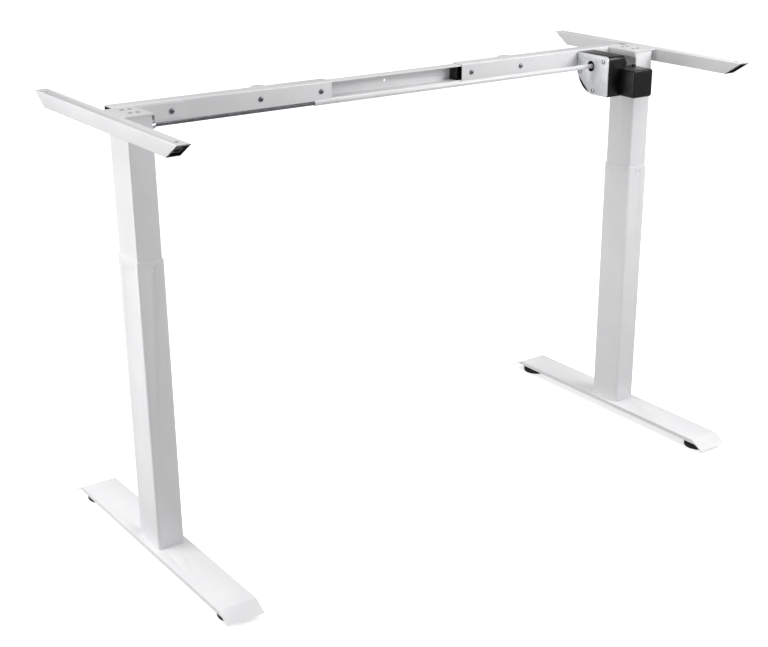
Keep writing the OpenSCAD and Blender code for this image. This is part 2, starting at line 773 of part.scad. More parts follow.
module shaft_gear(side, neck_end) color(steel) at_leg(side) translate([0, 0, rod_z]) difference() {
  rotate([0, 90, 0]) union() {
    bevel_teeth_cone(half_tooth);
    translate([0, 0, -cavity_w / 2 + part_gap])
      cylinder(h = cavity_w / 2 - part_gap - bevel_r + over, d = shaft_hub_d);
    translate([0, 0, -neck_end]) cylinder(h = neck_end - bevel_r + over, d = gear_neck_d);
  }
  rotate([0, 90, 0]) translate([0, 0, -neck_end - over])
    cylinder(h = neck_end + over, d = hex_d(rod_af + 2 * bore_fit), $fn = 6);
}

// Hexagon rod and the sleeve that it slides in

shaft_tip = 11;

module hex_rod() color(zinc) translate([-leg_x + shaft_tip, 0, rod_z]) along_x()
  cylinder(h = leg_x - shaft_tip + rod_end, d = hex_d(rod_af), $fn = 6);

hub_inset = 8;
hub_x = casing_x + hub_inset;
sleeve_in_hub = 6;
neck_past = 17;
neck_right = motor_x + neck_past;

module sleeve_tube() color(white_paint) translate([-sleeve_end, 0, rod_z]) difference() {
  along_x() cylinder(h = sleeve_end + hub_x + sleeve_in_hub, d = sleeve_d);
  translate([-over, 0, 0]) along_x()
    cylinder(h = sleeve_end + hub_x + sleeve_in_hub + 2 * over, d = sleeve_bore);
  at_grubs() cylinder(h = sleeve_d, d = grub_d + 2 * fit);
}

// Grub screws: distances from the sleeve's left end, and turn below the front
grub_places = [22, 54, 266, 530];
grub_turn = 22;
grub_sunk = 0.1;
grub_socket_af = 2;
grub_socket_deep = 0.6;

module at_grubs() {
  for (x = grub_places) translate([x, 0, 0]) rotate([90 + grub_turn, 0, 0]) children();
}

module sleeve_screws() color(steel) translate([-sleeve_end, 0, rod_z]) at_grubs()
  difference() {
    translate([0, 0, sleeve_bore / 2 + fit])
      cylinder(h = (sleeve_d - sleeve_bore) / 2 - fit - grub_sunk, d = grub_d);
    translate([0, 0, sleeve_d / 2 - grub_sunk - grub_socket_deep])
      cylinder(h = grub_socket_deep + over, d = hex_d(grub_socket_af), $fn = 6);
  }

// Worm wheel with its long hub

wheel_root_r = wheel_r - wheel_add - part_gap;
wheel_tooth_root_share = 0.22;
wheel_tooth_tip_share = 0.1;

module worm_wheel() color("darkslategray") translate([0, 0, rod_z]) difference() {
  union() {
    translate([motor_x - wheel_w / 2, 0, 0]) rotate([0, 90, 0]) linear_extrude(wheel_w)
      polygon(tooth_points(wheel_teeth, wheel_root_r, wheel_r + wheel_add,
        wheel_tooth_root_share, wheel_tooth_tip_share));
    translate([hub_x, 0, 0]) along_x() cylinder(h = neck_right - hub_x, d = hub_d);
  }
  translate([hub_x - over, 0, 0]) along_x() cylinder(h = sleeve_in_hub + over + fit, d = sleeve_d + 2 * fit);
  translate([hub_x, 0, 0]) along_x()
    cylinder(h = neck_right - hub_x + over, d = hex_d(rod_af + 2 * bore_fit), $fn = 6);
}

module right_shaft() color(zinc) translate([hub_x + sleeve_in_hub + part_gap, 0, rod_z]) along_x()
  cylinder(h = leg_x - shaft_tip - hub_x - sleeve_in_hub - part_gap, d = hex_d(rod_af), $fn = 6);

// Motor shaft with its worm: a right-hand thread with one start

worm_z = rod_z - worm_drop;
worm_r = worm_drop - wheel_r;
worm_lead = 2 * PI * wheel_r / wheel_teeth;
worm_crest_r = worm_r + wheel_add;
worm_root_r = worm_r - wheel_add - part_gap;
crest_share = 0.10;
flank_share = 0.08;
worm_steps = 30;
worm_slices = 12;

// Radius of the worm's cross-section at a share of the turn, counted from the crest's middle
function worm_radius(s) = let (d = min(s, 1 - s))
  d < crest_share ? worm_crest_r
  : d < crest_share + flank_share ? worm_crest_r - (worm_crest_r - worm_root_r) * (d - crest_share) / flank_share
  : worm_root_r;

worm_len = worm_turns * worm_lead;
worm_front = -worm_len / 2;
shaft_in_can = 14;
shaft_rear = 30;
// Turn that puts a groove of the thread over the shaft's middle, where a wheel tooth points down
worm_phase = 90 + 180 * worm_turns;

module motor_worm() color(steel) translate([motor_x, 0, worm_z]) {
  translate([0, worm_front, 0]) along_y()
    linear_extrude(worm_len, twist = -360 * worm_turns, slices = worm_turns * worm_slices)
      rotate(worm_phase) polygon([for (i = [0 : worm_steps - 1]) let (s = i / worm_steps)
        [worm_radius(s) * cos(360 * s), worm_radius(s) * sin(360 * s)]]);
  translate([0, -flange_y - shaft_in_can, 0]) along_y()
    cylinder(h = flange_y + shaft_in_can + shaft_rear, d = motor_shaft_d);
}

// Gear casing, its cover plate and bearings

casing_right = casing_x + casing_l;
casing_back = beam_y;
casing_cavity_l = casing_l - casing_wall;
bearing_w = 10;
casing_bearing_d = 32;
neck_bearing_w = 8;
neck_wall = 2.2;
neck_r = casing_bearing_d / 2 + neck_wall;
worm_box_half = 15;
worm_box_rear = 32;
worm_bore_rear = 27;
worm_clear = 1.6;
worm_bore_r = worm_r + wheel_add + worm_clear;
hub_clear = 0.8;
wheel_clear = 0.9;
wheel_side = 1.5;
cover_inset = 1.5;
cover_boss_d = 10;
cover_boss_l = 14;
beam_boss_d = 12;

// Places of the cover's screws, as y and z from the shaft's axis
cover_screw_places = [[-43, 15.4], [36, -17.2], [-11, -56.5]];

module at_cover_screws() {
  for (p = cover_screw_places) translate([casing_x, p[0], rod_z + p[1]]) along_x() children();
}

// The casing's screws come through the beam from behind
module at_beam_screws() {
  for (x = casing_screw_x) translate([casing_x + x, casing_back, beam_mid_z]) along_front() children();
}

module at_casing_bearings() {
  translate([casing_right - casing_wall - bearing_w, 0, rod_z]) along_x() children(0);
  translate([neck_right - neck_bearing_w, 0, rod_z]) along_x() children(1);
}

// What a round corner takes off a square one, on the sides given by the signs
module corner_cut(y, z, r, side_y, side_z) translate([y, z]) difference() {
  translate([side_y < 0 ? -r - over : 0, side_z < 0 ? -r - over : 0]) square(r + over);
  circle(r, $fn = 96);
}

// The casing's outline in y and z from the shaft's axis, drawn in by a given distance,
// with its front top corner rounded
module casing_box(shrink) {
  front_r = casing_small_r - shrink;
  difference() {
    translate([shrink - casing_front, shrink - casing_down])
      square([casing_front + casing_back - 2 * shrink, casing_up + casing_down - 2 * shrink]);
    corner_cut(shrink - casing_front + front_r, casing_up - shrink - front_r, front_r, -1, 1);
  }
}

// The same outline with the wide curve at the bottom of its back
module casing_outline(shrink) {
  rear_r = casing_big_r - shrink;
  difference() {
    casing_box(shrink);
    corner_cut(casing_back - shrink - rear_r, shrink - casing_down + rear_r, rear_r, 1, -1);
  }
}

// Flat end of the casing that closes the motor's cover
module motor_flange() {
  flange_w = motor_x + motor_cover_w / 2 - casing_right + motor_cover_r;
  translate([casing_right - motor_cover_r + flange_w / 2, -flange_y, motor_cover_mid]) along_y()
    linear_extrude(casing_wall) round_rect(flange_w, motor_cover_h, motor_cover_r);
}

module gear_casing() color(black_plastic) difference() {
  union() {
    translate([0, 0, rod_z]) difference() {
      translate([casing_x + cover_t, 0, 0]) extrude_x(casing_l - cover_t) casing_outline(0);
      translate([casing_x, 0, 0]) extrude_x(casing_cavity_l) casing_outline(casing_wall);
    }
    at_cover_screws() translate([0, 0, cover_t]) cylinder(h = casing_cavity_l - cover_t, d = cover_boss_d);
    at_beam_screws() cylinder(h = casing_screw_l + casing_wall, d = beam_boss_d);
    at_casing_bearings() {
      cylinder(h = bearing_w + casing_wall, r = neck_r);
      translate([0, 0, neck_bearing_w - neck_right + casing_right])
        cylinder(h = neck_right - casing_right, r = neck_r);
    }
    translate([casing_right, -flange_y, worm_z - worm_box_half])
      cube([motor_x + worm_box_half - casing_right, flange_y + worm_box_rear, worm_box_half + worm_drop / 2]);
    motor_flange();
  }
  translate([casing_x, 0, rod_z]) along_x()
    cylinder(h = neck_right - casing_x + over, d = hub_d + 2 * hub_clear);
  at_casing_bearings() {
    translate([0, 0, -over]) cylinder(h = bearing_w + over, d = casing_bearing_d + 2 * fit);
    cylinder(h = neck_bearing_w + over, d = casing_bearing_d + 2 * fit);
  }
  translate([motor_x - wheel_w / 2 - wheel_side, 0, rod_z]) along_x()
    cylinder(h = wheel_w + 2 * wheel_side, r = wheel_r + wheel_add + wheel_clear);
  translate([motor_x, -flange_y + casing_wall, worm_z]) along_y()
    cylinder(h = flange_y - casing_wall + worm_bore_rear, r = worm_bore_r);
  translate([motor_x, -flange_y - over, worm_z]) along_y()
    cylinder(h = casing_wall + 2 * over, d = motor_shaft_d + 2 * hub_clear);
  translate([motor_x, 0, worm_z]) along_y()
    cylinder(h = shaft_rear + part_gap, d = motor_shaft_d + 2 * run_clear);
  at_cover_screws() cylinder(h = cover_t + cover_boss_l, d = cover_screw_d + 2 * fit);
  at_beam_screws() translate([0, 0, -over]) cylinder(h = casing_screw_l + over, d = screw_d + 2 * fit);
}

module cover_plate() color(cover_grey) difference() {
  translate([casing_x, 0, rod_z]) extrude_x(cover_t) difference() {
    casing_box(0);
    translate([casing_back - cover_inset, -casing_down - over])
      square([cover_inset + over, casing_up + casing_down + 2 * over]);
    polygon([[casing_back, -casing_down - over], [casing_back, cover_cut_h - casing_down],
      [casing_back - cover_inset, cover_cut_h - casing_down],
      [casing_back - cover_inset - cover_cut_w, -casing_down],
      [casing_back - cover_inset - cover_cut_w, -casing_down - over]]);
  }
  translate([casing_x - over, 0, rod_z]) along_x() cylinder(h = cover_t + 2 * over, d = cover_hole_d);
  at_cover_screws() translate([0, 0, -over]) cylinder(h = cover_t + 2 * over, d = cover_screw_d + 2 * hole_clear);
}

cover_head_h = 3.4;
cross_w = 1.2;
cross_l = 5.4;
cross_deep = 1.6;

module cover_screws() color(zinc) at_cover_screws() difference() {
  union() {
    translate([0, 0, -cover_head_h])
      cylinder(h = cover_head_h / 2, d1 = cover_head_d - cover_head_h, d2 = cover_head_d);
    translate([0, 0, -cover_head_h / 2]) cylinder(h = cover_head_h / 2, d = cover_head_d);
    cylinder(h = cover_t + cover_boss_l - over, d = cover_screw_d);
  }
  for (turn = [0, 90]) rotate(turn) translate([-cross_l / 2, -cross_w / 2, -cover_head_h - over])
    cube([cross_l, cross_w, cross_deep + over]);
}

// A bearing ring round the wheel's hub
module hub_ring(l) difference() {
  cylinder(h = l, d = casing_bearing_d);
  translate([0, 0, -over]) cylinder(h = l + 2 * over, d = hub_d + 2 * run_clear);
}

module casing_bearings() color(zinc) at_casing_bearings() {
  hub_ring(bearing_w);
  hub_ring(neck_bearing_w);
}

// Motor and its moulded cover

motor_cover_low = rod_z - motor_cover_down;
motor_cover_mid = motor_cover_low + motor_cover_h / 2;
motor_cover_front = -flange_y - motor_cover_l;
can_gap = 3.6;
can_rear = -casing_front - part_gap;
inlet_d = 11;
inlet_h = 3;
inlet_bore = 6;
inlet_back = 8;
inlet_side = 24;

module motor_cover() color(black_plastic) difference() {
  union() {
    translate([motor_x, motor_cover_front, motor_cover_mid]) along_y()
      linear_extrude(motor_cover_l) round_rect(motor_cover_w, motor_cover_h, motor_cover_r);
    translate([motor_x + inlet_side, -flange_y - inlet_back, motor_cover_low + motor_cover_h - over])
      cylinder(h = inlet_h + over, d = inlet_d);
  }
  translate([motor_x, motor_cover_front + motor_cover_wall, motor_cover_mid]) along_y()
    linear_extrude(motor_cover_l)
      square([motor_cover_w - 2 * motor_cover_wall, motor_cover_h - 2 * motor_cover_wall], center = true);
  translate([motor_x - motor_cover_w, -casing_front - fit, motor_cover_low - over])
    cube([casing_right + fit - motor_x + motor_cover_w, motor_cover_l, motor_cover_h + inlet_h + 2 * over]);
  translate([motor_x + inlet_side, -flange_y - inlet_back, motor_cover_mid])
    cylinder(h = motor_cover_h, d = inlet_bore);
}

module motor_can() color(steel) translate([motor_x, 0, worm_z]) difference() {
  union() {
    translate([0, motor_cover_front + can_gap, 0]) along_y()
      cylinder(h = can_rear - motor_cover_front - can_gap, d = can_d);
    translate([0, can_rear - over, 0]) along_y() cylinder(h = -flange_y - can_rear + over, d = nose_d);
  }
  translate([0, -flange_y - shaft_in_can - part_gap, 0]) along_y()
    cylinder(h = shaft_in_can + part_gap + over, d = motor_shaft_d + 2 * run_clear);
}

foot(left);  // left_foot
pad(left, front);  // left_front_pad
pad(left, rear);  // left_rear_pad
pad_nuts(left);  // left_pad_nuts
outer_column(left);  // left_outer_column
column_base(left);  // left_column_base
column_bolts(left);  // left_column_bolts
glide_bush(left);  // left_glide_bush
nut_tube(left);  // left_nut_tube
spindle_nut(left);  // left_spindle_nut
inner_column(left);  // left_inner_column
inner_glide(left);  // left_inner_glide
bracket(left, left_tab_l, left_tab_screws);  // left_bracket
side_tube(left);  // left_side_tube
tube_caps(left);  // left_tube_caps
channel(left, left_tab_screws, []);  // left_channel
channel_screws(left, left_tab_screws, []);  // left_channel_screws
gear_block(left);  // left_gear_block
block_screws(left);  // left_block_screws
bearings(left);  // left_bearings
spindle(left);  // left_spindle
spindle_gear(left);  // left_spindle_gear
shaft_gear(left, left_neck_end);  // left_shaft_gear
hex_rod();
centre_rail();
rail_blocks();
inner_column(right);  // right_inner_column
inner_glide(right);  // right_inner_glide
bracket(right, right_tab_l, right_tab_screws);  // right_bracket
side_tube(right);  // right_side_tube
tube_caps(right);  // right_tube_caps
channel(right, right_tab_screws, casing_screw_x);  // right_channel
channel_screws(right, right_tab_screws, casing_screw_x);  // right_channel_screws
gear_block(right);  // right_gear_block
block_screws(right);  // right_block_screws
bearings(right);  // right_bearings
gear_casing();
cover_plate();
cover_screws();
casing_bearings();
motor_cover();
motor_can();
sleeve_tube();
sleeve_screws();
worm_wheel();
right_shaft();
shaft_gear(right, right_neck_end);  // right_shaft_gear
motor_worm();
spindle(right);  // right_spindle
spindle_gear(right);  // right_spindle_gear
foot(right);  // right_foot
pad(right, front);  // right_front_pad
pad(right, rear);  // right_rear_pad
pad_nuts(right);  // right_pad_nuts
outer_column(right);  // right_outer_column
column_base(right);  // right_column_base
column_bolts(right);  // right_column_bolts
glide_bush(right);  // right_glide_bush
nut_tube(right);  // right_nut_tube
spindle_nut(right);  // right_spindle_nut
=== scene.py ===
import json
import math
import bmesh
import bpy
from mathutils import Matrix, Vector


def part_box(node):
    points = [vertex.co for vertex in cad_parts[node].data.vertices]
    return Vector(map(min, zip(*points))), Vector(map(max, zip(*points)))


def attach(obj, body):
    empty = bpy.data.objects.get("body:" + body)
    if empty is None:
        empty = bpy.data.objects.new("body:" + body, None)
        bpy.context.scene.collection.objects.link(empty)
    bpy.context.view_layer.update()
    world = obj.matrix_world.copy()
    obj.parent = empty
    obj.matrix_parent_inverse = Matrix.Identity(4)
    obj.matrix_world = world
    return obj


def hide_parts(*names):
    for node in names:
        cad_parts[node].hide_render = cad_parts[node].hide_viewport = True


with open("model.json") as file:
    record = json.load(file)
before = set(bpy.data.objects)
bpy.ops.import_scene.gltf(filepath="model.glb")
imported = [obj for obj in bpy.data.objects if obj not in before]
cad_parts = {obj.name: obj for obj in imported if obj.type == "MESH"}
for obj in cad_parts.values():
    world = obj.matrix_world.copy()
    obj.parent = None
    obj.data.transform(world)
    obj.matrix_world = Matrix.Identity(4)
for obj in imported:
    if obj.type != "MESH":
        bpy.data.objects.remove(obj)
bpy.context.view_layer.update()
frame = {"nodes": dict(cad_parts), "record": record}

mm = 0.001
sides = {"left": -1, "right": 1}  # the sign of x on each side
sameLevel = 0.1 * mm  # points closer than this lie in one plane
longEdge = 100 * mm  # only an edge along the whole piece is longer
facing = 0.5  # a face looks along an axis when its normal has more than this share of it
fineRound, midRound, smallRound, hexSides = 64, 48, 32, 6  # corners of a round or six-sided rod


# Measures that many pieces share, read from the frame

def middle(node):
    low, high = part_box(node)
    return (low + high) / 2


legX = middle("right_inner_column").x
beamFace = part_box("right_channel")[0].y
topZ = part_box("right_side_tube")[1].z
beamZ = topZ - (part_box("right_channel")[1].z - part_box("right_channel")[0].z) / 2
rodZ = middle("sleeve_tube").z


# Camera and stage

cameraView = {
    "place": (-1.7558, -2.4101, 1.4756),
    "yaw": 0.63575,
    "pitch": 0.37489,
    "roll": 0.00168,
    "focalPixels": 1358.8,
    "centrePixel": (420.08, 354.16),
    "imagePixels": (768, 647),
    "sensor": 36,
    "clipEnd": 100,
}


def makeCamera(s):
    data = bpy.data.cameras.new("photoCamera")
    cam = bpy.data.objects.new("photoCamera", data)
    bpy.context.scene.collection.objects.link(cam)
    ahead = Vector((math.sin(s["yaw"]) * math.cos(s["pitch"]),
                    math.cos(s["yaw"]) * math.cos(s["pitch"]), -math.sin(s["pitch"])))
    right = ahead.cross(Vector((0, 0, 1))).normalized()
    up = right.cross(ahead)
    roll = Matrix.Rotation(-s["roll"], 3, ahead)
    turned = Matrix((roll @ right, roll @ up, -ahead)).transposed()
    cam.matrix_world = Matrix.Translation(s["place"]) @ turned.to_4x4()
    width, height = s["imagePixels"]
    data.sensor_fit = "HORIZONTAL"
    data.sensor_width = s["sensor"]
    data.lens = s["focalPixels"] / width * s["sensor"]
    data.shift_x = (width / 2 - s["centrePixel"][0]) / width
    data.shift_y = (s["centrePixel"][1] - height / 2) / width
    data.clip_end = s["clipEnd"]
    bpy.context.scene.camera = cam
    print("camera ready")


studio = {
    "floorSize": 60,
    "floorColour": "#FFFFFF",
    "floorBounce": "#B2B2B2",
    "floorRough": 0.9,
    "floorGlow": 0.6,
    "skyColour": "#FFFFFF",
    "skyStrength": 0.35,
    "viewTransform": "Standard",
    "sun": {"strength": 1.3, "spread": 50, "tilt": (-8, -10)},
    # name: (place, what it points at, width, height, watts)
    "panels": {
        "leftPanel": ((-2.5, 0.8, 1.1), (-0.6, 0.0, 0.75), 1.6, 1.8, 35),
        "frontRightPanel": ((1.3, -1.35, 1.75), (0.5, 0.0, 0.7), 1.1, 0.9, 25),
    },
}


def makeStudio(s):
    deselectAll()
    bpy.ops.mesh.primitive_plane_add(size=s["floorSize"])
    floor = bpy.context.object
    floor.name = "studioFloor"
    floor.data.materials.append(paperSweep(s))
    world = bpy.data.worlds.new("studioAir")
    world.use_nodes = True
    tree = world.node_tree
    seen = addNode(tree, "ShaderNodeLightPath").outputs["Is Camera Ray"]
    brightness = addNode(tree, "ShaderNodeMapRange", {"Value": seen},
                         {"To Min": s["skyStrength"], "To Max": 1.0})
    air = tree.nodes["Background"]
    air.inputs["Color"].default_value = linear(s["skyColour"])
    tree.links.new(brightness.outputs["Result"], air.inputs["Strength"])
    bpy.context.scene.world = world
    bpy.context.scene.view_settings.view_transform = s["viewTransform"]
    sunData = bpy.data.lights.new("ceilingLight", "SUN")
    sunData.energy = s["sun"]["strength"]
    sunData.angle = math.radians(s["sun"]["spread"])
    sun = bpy.data.objects.new("ceilingLight", sunData)
    sun.rotation_euler = [math.radians(a) for a in s["sun"]["tilt"]] + [0]
    bpy.context.scene.collection.objects.link(sun)
    for name, (place, target, width, height, watts) in s["panels"].items():
        data = bpy.data.lights.new(name, "AREA")
        data.shape = "RECTANGLE"
        data.size, data.size_y, data.energy = width, height, watts
        lamp = bpy.data.objects.new(name, data)
        lamp.location = place
        lamp.visible_camera = False
        lamp.rotation_euler = (Vector(target) - Vector(place)).to_track_quat("-Z", "Y").to_euler()
        bpy.context.scene.collection.objects.link(lamp)
    print("studio ready")


# Seamless white paper. The camera sees it white, and it throws less light back on the frame, as a paper
# that is cut out of the picture would
def paperSweep(s):
    material, tree, shader = newMaterial("paperSweep", {"Roughness": s["floorRough"]})
    seen = addNode(tree, "ShaderNodeLightPath").outputs["Is Camera Ray"]
    paper = addNode(tree, "ShaderNodeMix", {"Factor": seen}, data_type="RGBA")
    paper.inputs["A"].default_value = linear(s["floorBounce"])
    paper.inputs["B"].default_value = linear(s["floorColour"])
    tree.links.new(paper.outputs["Result"], shader.inputs["Base Color"])
    shader.inputs["Emission Color"].default_value = linear(s["floorColour"])
    lift = addNode(tree, "ShaderNodeMapRange", {"Value": seen}, {"To Max": s["floorGlow"]})
    tree.links.new(lift.outputs["Result"], shader.inputs["Emission Strength"])
    return material


# Materials

# An sRGB hex value as linear light
def linear(hexColour):
    parts = [int(hexColour[i:i + 2], 16) / 255 for i in (1, 3, 5)]
    return [p / 12.92 if p <= 0.04045 else ((p + 0.055) / 1.055) ** 2.4 for p in parts] + [1.0]


def addNode(tree, kind, links=None, values=None, **settings):
    node = tree.nodes.new(kind)
    for name, value in settings.items():
        setattr(node, name, value)
    for name, value in (values or {}).items():
        node.inputs[name].default_value = value
    for name, source in (links or {}).items():
        tree.links.new(source, node.inputs[name])
    return node


def newMaterial(name, sockets):
    material = bpy.data.materials.new(name)
    material.use_nodes = True
    shader = material.node_tree.nodes["Principled BSDF"]
    for socket, value in sockets.items():
        shader.inputs[socket].default_value = value
    return material, material.node_tree, shader


# Part of the noise's range over which a tone or a roughness changes
noiseRange = {"tones": (0.35, 0.65), "toneDetail": 2.0, "rough": (0.3, 0.7), "roughDetail": 3.0}


# A colour that wanders slightly between two tones, with patches of a given size
def toneBetween(tree, shader, coords, tones, patchSize):
    noise = addNode(tree, "ShaderNodeTexNoise", {"Vector": coords},
                    {"Scale": 1 / patchSize, "Detail": noiseRange["toneDetail"]})
    ramp = addNode(tree, "ShaderNodeValToRGB", {"Fac": noise.outputs["Fac"]})
    for stop, place, tone in zip(ramp.color_ramp.elements, noiseRange["tones"], tones):
        stop.position = place
        stop.color = linear(tone)
    tree.links.new(ramp.outputs["Color"], shader.inputs["Base Color"])


# Roughness that wanders between two values
def roughBetween(tree, shader, coords, low, high, patchSize):
    noise = addNode(tree, "ShaderNodeTexNoise", {"Vector": coords},
                    {"Scale": 1 / patchSize, "Detail": noiseRange["roughDetail"]})
    spread = addNode(tree, "ShaderNodeMapRange", {"Value": noise.outputs["Fac"]},
                     {"From Min": noiseRange["rough"][0], "From Max": noiseRange["rough"][1],
                      "To Min": low, "To Max": high})
    tree.links.new(spread.outputs["Result"], shader.inputs["Roughness"])


def bumpFrom(tree, shader, height, depth):
    bump = addNode(tree, "ShaderNodeBump", {"Height": height}, {"Distance": depth, "Strength": 1.0})
    tree.links.new(bump.outputs["Normal"], shader.inputs["Normal"])


coatFinish = {"ior": 1.5, "coat": 0.25, "coatRough": 0.08, "tonePatch": 90 * mm, "rough": (0.3, 0.34),
              "roughPatch": 60 * mm}


# Powder baked onto steel, with the orange peel that it dries to
def powderCoat(name, tones, peelSize, peelDepth):
    s = coatFinish
    material, tree, shader = newMaterial(name, {"IOR": s["ior"], "Coat Weight": s["coat"],
                                                "Coat Roughness": s["coatRough"]})
    coords = addNode(tree, "ShaderNodeTexCoord").outputs["Object"]
    toneBetween(tree, shader, coords, tones, s["tonePatch"])
    roughBetween(tree, shader, coords, *s["rough"], s["roughPatch"])
    peel = addNode(tree, "ShaderNodeTexNoise", {"Vector": coords}, {"Scale": 1 / peelSize, "Detail": 1.0})
    bumpFrom(tree, shader, peel.outputs["Fac"], peelDepth)
    return material


mouldedFinish = {"ior": 1.53, "specular": 0.4, "tonePatch": 30 * mm, "roughSpread": (0.85, 1.2),
                 "roughPatch": 12 * mm}


# Injection-moulded plastic: a spark-eroded mould leaves a fine even grain
def mouldedPlastic(name, tones, rough, grainSize, grainDepth):
    s = mouldedFinish
    material, tree, shader = newMaterial(name, {"IOR": s["ior"], "Specular IOR Level": s["specular"]})
    coords = addNode(tree, "ShaderNodeTexCoord").outputs["Object"]
    toneBetween(tree, shader, coords, tones, s["tonePatch"])
    roughBetween(tree, shader, coords, *[rough * share for share in s["roughSpread"]], s["roughPatch"])
    grain = addNode(tree, "ShaderNodeTexVoronoi", {"Vector": coords}, {"Scale": 1 / grainSize})
    bumpFrom(tree, shader, grain.outputs["Distance"], grainDepth)
    return material


metalFinish = {"tonePatch": 14 * mm, "roughSpread": (0.8, 1.25), "roughPatch": 9 * mm, "markDetail": 2.0}


# Bare or plated metal with fine marks, drawn out along an axis where its share is small
def markedMetal(name, tones, rough, markSpacing, markDepth, along=(1, 1, 1)):
    s = metalFinish
    material, tree, shader = newMaterial(name, {"Metallic": 1.0})
    coords = addNode(tree, "ShaderNodeTexCoord").outputs["Object"]
    toneBetween(tree, shader, coords, tones, s["tonePatch"])
    roughBetween(tree, shader, coords, *[rough * share for share in s["roughSpread"]], s["roughPatch"])
    stretch = addNode(tree, "ShaderNodeMapping", {"Vector": coords}, {"Scale": along})
    marks = addNode(tree, "ShaderNodeTexNoise", {"Vector": stretch.outputs["Vector"]},
                    {"Scale": 1 / markSpacing, "Detail": s["markDetail"]})
    bumpFrom(tree, shader, marks.outputs["Fac"], markDepth)
    return material


def makeMaterials():
    return {
        # Polyester powder baked on: a clean gloss, with an orange peel that only breaks up the highlights
        "white_coat": powderCoat("whitePowderCoat", ("#EDEDEE", "#E9E9EB"), 2.2 * mm, 0.006 * mm),
        # Moulded acetal: smoother and a touch brighter than the powder coat beside it
        "white_plastic": mouldedPlastic("whiteAcetalMoulded", ("#F6F6F7", "#F1F1F2"),
                                        0.35, 0.7 * mm, 0.004 * mm),
        # Moulded ABS: near black, and its fine grain spreads the highlights
        "black_plastic": mouldedPlastic("blackAbsMoulded", ("#0B0B0C", "#111113"), 0.3, 0.9 * mm, 0.02 * mm),
        # Moulded nylon: duller and coarser than the ABS
        "black_pad": mouldedPlastic("blackNylonMoulded", ("#171717", "#1F1F20"), 0.5, 1.2 * mm, 0.05 * mm),
        # Zinc plate: bright, with clouds of grey
        "zinc": markedMetal("zincPlatedSteel", ("#CED0D3", "#C0C3C6"), 0.22, 0.8 * mm, 0.002 * mm),
        # Drawn or turned steel, oiled: dark, with fine lines along the shaft
        "steel": markedMetal("oiledMachinedSteel", ("#888A8E", "#787A7E"), 0.36, 0.6 * mm, 0.004 * mm,
                             (0.1, 1, 1)),
        # Die-cast aluminium: matt, with the mould's rough skin
        "casting": markedMetal("pressureDieCastAluminium", ("#B4B5B7", "#A5A6A8"), 0.5, 1.5 * mm, 0.05 * mm),
        # Tumbled aluminium plate: pale satin with no direction in it
        "cover_metal": markedMetal("tumbledAluminiumPlate", ("#E9EBED", "#E2E4E6"), 0.5, 1.0 * mm, 0.004 * mm),
        # Natural acetal, machined: creamy and waxy
        "nut_plastic": mouldedPlastic("naturalAcetalMachined", ("#E3DCC6", "#DAD2BA"),
                                      0.4, 1.0 * mm, 0.02 * mm),
    }


# Modelling helpers. A bevel is given as (width, steps), and an ease as (width, steps, least angle in degrees)

def deselectAll():
    if bpy.context.object and bpy.context.object.mode == "EDIT":
        bpy.ops.object.mode_set(mode="OBJECT")
    bpy.ops.object.select_all(action="DESELECT")


def makeActive(obj):
    deselectAll()
    obj.select_set(True)
    bpy.context.view_layer.objects.active = obj


def applyPlace(obj):
    makeActive(obj)
    bpy.ops.object.transform_apply(location=True, rotation=True, scale=True)


def addBox(name, low, high):
    low, high = Vector(low), Vector(high)
    deselectAll()
    bpy.ops.mesh.primitive_cube_add(size=1, location=(low + high) / 2)
    box = bpy.context.object
    box.name = name
    box.scale = high - low
    applyPlace(box)
    return box


def addRod(name, start, end, radius, corners=midRound, endRadius=None):
    start, end = Vector(start), Vector(end)
    along = end - start
    deselectAll()
    bpy.ops.mesh.primitive_cone_add(vertices=corners, radius1=radius, depth=along.length,
                                    radius2=radius if endRadius is None else endRadius,
                                    location=(start + end) / 2,
                                    rotation=along.to_track_quat("Z", "Y").to_euler())
    rod = bpy.context.object
    rod.name = name
    applyPlace(rod)
    return rod


def selectWhere(obj, faces=None, edges=None):
    makeActive(obj)
    bpy.ops.object.mode_set(mode="EDIT")
    bpy.ops.mesh.select_mode(type="FACE" if faces else "EDGE")
    bpy.ops.mesh.select_all(action="DESELECT")
    mesh = bmesh.from_edit_mesh(obj.data)
    for face in mesh.faces if faces else []:
        face.select_set(bool(faces(face.calc_center_median(), face.normal)))
    for edge in mesh.edges if edges else []:
        edge.select_set(bool(edges(edge.verts[0].co, edge.verts[1].co)))
    bmesh.update_edit_mesh(obj.data)


def bevelEdges(obj, edges, width, steps):
    selectWhere(obj, edges=edges)
    bpy.ops.mesh.bevel(offset=width, segments=steps, affect="EDGES", clamp_overlap=True)
    bpy.ops.object.mode_set(mode="OBJECT")


def deleteFaces(obj, faces):
    selectWhere(obj, faces=faces)
    bpy.ops.mesh.delete(type="FACE")
    bpy.ops.object.mode_set(mode="OBJECT")


def applyModifier(obj, kind, **settings):
    makeActive(obj)
    modifier = obj.modifiers.new(kind.lower(), kind)
    for name, value in settings.items():
        setattr(modifier, name, value)
    bpy.ops.object.modifier_apply(modifier=modifier.name)


def giveWall(obj, thickness):
    applyModifier(obj, "SOLIDIFY", thickness=thickness, offset=-1, use_even_offset=True)


def easeEdges(obj, width, steps=2, degrees=40):
    applyModifier(obj, "BEVEL", width=width, segments=steps, limit_method="ANGLE",
                  angle_limit=math.radians(degrees), use_clamp_overlap=True, miter_outer="MITER_ARC")


def combine(obj, other, operation):
    applyModifier(obj, "BOOLEAN", object=other, operation=operation, solver="EXACT")
    bpy.data.objects.remove(other)


def cutRod(obj, start, end, radius, corners=smallRound, endRadius=None):
    combine(obj, addRod("cutter", start, end, radius, corners, endRadius), "DIFFERENCE")


